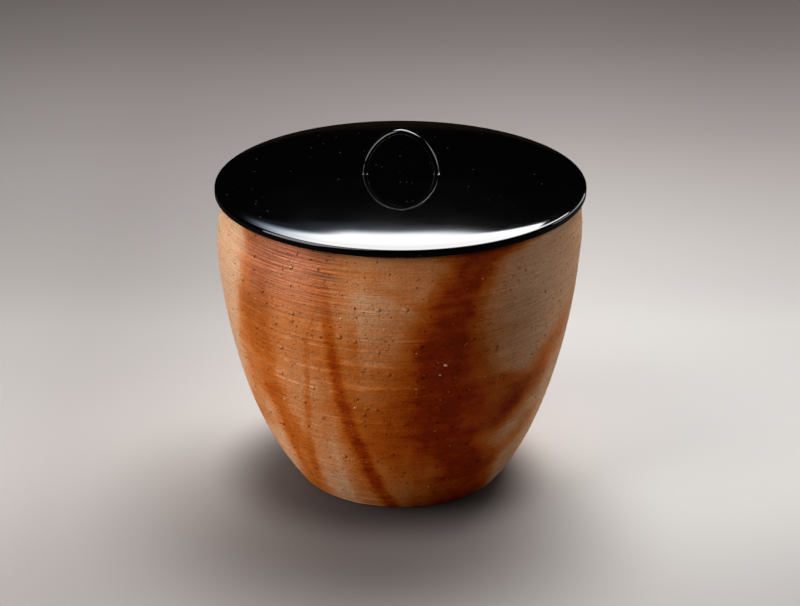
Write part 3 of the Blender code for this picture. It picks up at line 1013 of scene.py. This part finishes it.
def dusted(graph, places, color):
    """color with a few grains of dust on it."""
    cells = graph.add("ShaderNodeTexVoronoi", {"Vector": places, "Scale": DUST_SCALE}).outputs
    chance = graph.add("ShaderNodeSeparateColor", {0: cells["Color"]}).outputs[0]
    grain = graph.smooth(cells["Distance"], *DUST_RADII, 1, 0)
    chosen = graph.math("GREATER_THAN", chance, DUST_ABOVE)
    return graph.mix(graph.product(grain, chosen, DUST_SHARE), color, DUST_GREY)


def black_lacquer(name, roughness, dusty):
    """Polished black lacquer with a trace of handling and, on the lid, a little dust."""
    material, graph = new_material(name)
    places = graph.places()
    haze = graph.noise(places, *HAZE_NOISE)
    color = graph.mix(haze, LACQUER_BLACK, tuple(HAZE_BRIGHTENING * part for part in LACQUER_BLACK))
    graph.surface({
        "Base Color": dusted(graph, places, color) if dusty else color,
        "Roughness": graph.smooth(haze, *HAZE_RANGE, roughness, roughness * HAZE_ROUGHENING),
        "IOR": LACQUER_IOR,
    })
    return material


# The studio: a pale floor with painted light and shadows, a softbox behind and above, a panel at the left, a
# weak fill
FLOOR_REACH = 4
FLOOR_DROP = 0.2 * MM
FLOOR_COLOR = (0.494, 0.470, 0.440)
FLOOR_ROUGHNESS = 0.9
FLOOR_SHEEN = 0.1
# Painted shade on the floor turns redder as it deepens
FLOOR_RED_POWER = 0.935
FLOOR_UNMIRRORED = 0.95
# The floor's painted light falloff away from the viewer, as (metres, share)
FLOOR_PAINTED_FALLOFF = (
    (0.05, 1.0), (0.18, 0.93), (0.25, 0.79), (0.37, 0.62), (0.53, 0.425), (0.75, 0.265), (0.9, 0.20),
)
# Painted light and shade in depth and across: from and to where in metres, and the fixed shares there
FLOOR_LEFT = (0.25, 0.62, 0.58, 0.78)
FLOOR_RIGHT = (0.3, 0.85, 0.93, 0.76)
FLOOR_RIGHT_PAINTED_POOL = (0.05, 0.25, 1.12, 1)
FLOOR_MIDDLE = (-0.2, 0.1)
FLOOR_LEFT_EDGE = (-0.25, -0.17, 1.03, 0.98)
FLOOR_RIGHT_EDGE = (0.1, 0.3, 1, 0.87)
FLOOR_NEAR_ACROSS = (-0.02, 0.12, 0.88, 0.70)
FLOOR_NEAR_DEPTH = (-0.16, -0.01)
# Soft painted shadows round the jar: middle, the unit of each axis, from and to where, and the middle's
# share
FLOOR_PAINTED_SHADOWS = (
    ((-10, -5, 0), (1, 1, 1), FOOT_RADIUS / MM, FOOT_RADIUS / MM + 42, 0.32),
    ((2, -85, 0), (120, 130, 1000), 0.2, 1.15, 0.33),
    ((-95, -60, 0), (70, 120, 1000), 0.2, 1.15, 0.80),
)
SOFTBOX_SIZE = (1.5, 1.25)
SOFTBOX_AZIMUTH = 18.0
SOFTBOX_ELEVATION = 53.4
SOFTBOX_DISTANCE = 1.3
SOFTBOX_POWER = 60.0
SOFTBOX_AIM = (-0.119, -0.036, LID_TOP)
# The softbox's fades, over shares of its width and its height
SOFTBOX_EDGE = (0.58, 0.71, 0.052, 0.080)
SOFTBOX_BLUR = (0.73, 0.84, 0.018, 0.14)
SOFTBOX_STRIP = (0.048, 0.060, 0, 0.014)
SOFTBOX_UPPER = (0.3, 1, 1, 0.15)
SOFTBOX_LEFT = (0.74, 0.95, 1, 0)
SOFTBOX_DIM_COLOR = (0.62, 0.78, 1.0)
JAR_MIDDLE = (0, 0, 0.09)
SIDE_SIZE = (0.5, 0.9)
SIDE_PLACE = (-0.48, -0.224, 0.50)
SIDE_POWER = 6.6
FILL_SIZE = (0.8, 0.4)
FILL_PLACE = (0.82, 0.51, 0.22)
FILL_POWER = 1.9
AMBIENT = (0.16, 0.16, 0.165)
BACKGROUND = (0.16, 0.15, 0.148)
DARK_ROOM = (0.0004, 0.0004, 0.0005)
ROOM_HORIZON = (0.020, 0.012, 0.007)
HORIZON_EDGE = (0.17, 0.195, 1, 0)


def painted_floor_shade(graph, places):
    """The share of its colour that the floor keeps at each place: its painted light falloff and painted
    shadows.
    """
    x, y, _ = graph.parts(places)
    in_mm = graph.scaled(places, 1 / MM)
    left = graph.smooth(y, *FLOOR_LEFT)
    right = graph.product(graph.smooth(y, *FLOOR_RIGHT), graph.smooth(y, *FLOOR_RIGHT_PAINTED_POOL))
    near = graph.smooth(y, *FLOOR_NEAR_DEPTH, graph.smooth(x, *FLOOR_NEAR_ACROSS), 1.0)
    edges = graph.smooth(x, *FLOOR_LEFT_EDGE), graph.smooth(x, *FLOOR_RIGHT_EDGE)
    shade = graph.product(graph.smooth(x, *FLOOR_MIDDLE, left, right), *edges, near)
    for middle, unit, inner, outer, share in FLOOR_PAINTED_SHADOWS:
        moved = graph.vector("DIVIDE", graph.vector("SUBTRACT", in_mm, middle), unit)
        away = graph.add("ShaderNodeVectorMath", {0: moved}, operation="LENGTH").outputs["Value"]
        shade = graph.product(shade, graph.smooth(away, inner, outer, share, 1.0))
    return graph.product(shade, graph.ramp(y, [(place, (share,) * 3) for place, share in FLOOR_PAINTED_FALLOFF]))


def floor_paper():
    """Pale paper with painted light and shade, that polished pieces hardly mirror."""
    material, graph = new_material("floor_paper")
    shade = painted_floor_shade(graph, graph.places())
    # The painted light and shade, a little redder where darker
    red = graph.math("POWER", shade, FLOOR_RED_POWER)
    shades = graph.add("ShaderNodeCombineXYZ", {"X": red, "Y": shade, "Z": shade}).outputs[0]
    mirrored = graph.add("ShaderNodeLightPath").outputs["Is Glossy Ray"]
    hidden = graph.product(mirrored, FLOOR_UNMIRRORED)
    graph.surface({
        "Base Color": graph.mix(hidden, graph.vector("MULTIPLY", shades, FLOOR_COLOR), (0, 0, 0)),
        "Roughness": FLOOR_ROUGHNESS,
        "Specular IOR Level": FLOOR_SHEEN,
    })
    return material


def studio_floor():
    """A pale sheet whose painted light falls off towards the far side, with painted shadows round the jar.
    """
    mesh = bpy.data.meshes.new("studio_floor")
    r = FLOOR_REACH
    corners = [(x, y, -FLOOR_DROP) for x, y in ((-r, -r), (r, -r), (r, r), (-r, r))]
    mesh.from_pydata(corners, [], [(0, 1, 2, 3)])
    mesh.materials.append(floor_paper())
    floor = placed("studio_floor", mesh)


def area_lamp(name, place, target, size, power):
    """A lamp that the camera doesn't see, turned to its target."""
    lamp = bpy.data.lights.new(name, "AREA")
    lamp.shape = "RECTANGLE"
    lamp.size, lamp.size_y = size
    lamp.energy = power
    made = placed(name, lamp)
    made.location = place
    made.rotation_euler = (Vector(target) - Vector(place)).to_track_quat("-Z", "Y").to_euler()
    made.visible_camera = False
    return lamp


def around(target, azimuth, elevation, distance):
    """A place at a distance from a target; azimuth from straight behind it, positive to the right."""
    a, e = math.radians(azimuth), math.radians(elevation)
    out = Vector((math.sin(a) * math.cos(e), math.cos(a) * math.cos(e), math.sin(e)))
    return Vector(target) + distance * out


def soft_edges(lamp):
    """Lets the softbox fade at its lower edge, where a dim strip runs along, and towards its left."""
    graph = Graph(lamp)
    place = graph.add("ShaderNodeNewGeometry").outputs["Parametric"]
    leftwards, up, _ = graph.parts(place)
    edge = graph.smooth(leftwards, *SOFTBOX_EDGE)
    blur = graph.smooth(leftwards, *SOFTBOX_BLUR)
    lower = graph.smooth(up, edge, graph.math("ADD", edge, blur))
    glowing = graph.math("MAXIMUM", lower, graph.smooth(up, *SOFTBOX_STRIP))
    sides = graph.product(graph.smooth(up, *SOFTBOX_UPPER), graph.smooth(leftwards, *SOFTBOX_LEFT))
    strength = graph.product(glowing, sides)
    color = graph.mix(strength, SOFTBOX_DIM_COLOR, (1, 1, 1))
    glow = graph.add("ShaderNodeEmission", {"Color": color, "Strength": strength})
    graph.add("ShaderNodeOutputLight", {"Surface": glow.outputs[0]})


def studio_lamps():
    place = around(SOFTBOX_AIM, SOFTBOX_AZIMUTH, SOFTBOX_ELEVATION, SOFTBOX_DISTANCE)
    soft_edges(area_lamp("softbox", place, SOFTBOX_AIM, SOFTBOX_SIZE, SOFTBOX_POWER))
    area_lamp("side_panel", SIDE_PLACE, JAR_MIDDLE, SIDE_SIZE, SIDE_POWER)
    area_lamp("fill", FILL_PLACE, JAR_MIDDLE, FILL_SIZE, FILL_POWER)


def studio_world():
    """A dark room to mirror, a grey surround to see, and soft light from all around."""
    world = bpy.data.worlds.new("studio")
    bpy.context.scene.world = world
    graph = Graph(world)
    up = graph.parts(graph.add("ShaderNodeTexCoord").outputs["Generated"])[2]
    mirrored = graph.mix(graph.smooth(up, *HORIZON_EDGE), DARK_ROOM, ROOM_HORIZON)
    path = graph.add("ShaderNodeLightPath").outputs
    seen = graph.mix(path["Is Glossy Ray"], AMBIENT, mirrored)
    seen = graph.mix(path["Is Camera Ray"], seen, BACKGROUND)
    light = graph.add("ShaderNodeBackground", {"Color": seen})
    graph.add("ShaderNodeOutputWorld", {"Surface": light.outputs[0]})


CAMERA_PLACE = (-0.00025, -1.200, 0.608)
CAMERA_DOWN = 23.27
# In mm, for the standard sensor of 36 mm
CAMERA_LENS = 112.6


def studio_camera():
    data = bpy.data.cameras.new("camera")
    data.lens = CAMERA_LENS
    camera = placed("camera", data)
    camera.location = CAMERA_PLACE
    camera.rotation_euler = (math.radians(90 - CAMERA_DOWN), 0, 0)
    bpy.context.scene.camera = camera


def build():
    jar = jar_stoneware(stoneware_outside(), stoneware_inside())
    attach(jar, "jar")
    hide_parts("jar_body")
    grits = clay_grits(pale_stone())
    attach(grits, "jar")
    lid = lid_lacquer(black_lacquer("lid_lacquer", LID_ROUGHNESS, dusty=True))
    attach(lid, "lid")
    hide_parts("lid_panel")
    handle = lid_handle_strip(black_lacquer("handle_lacquer", HANDLE_ROUGHNESS, dusty=False))
    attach(handle, "lid")
    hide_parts("lid_handle")


bpy.context.scene.view_settings.view_transform = "Standard"
build()
studio_floor()
studio_lamps()
studio_world()
studio_camera()
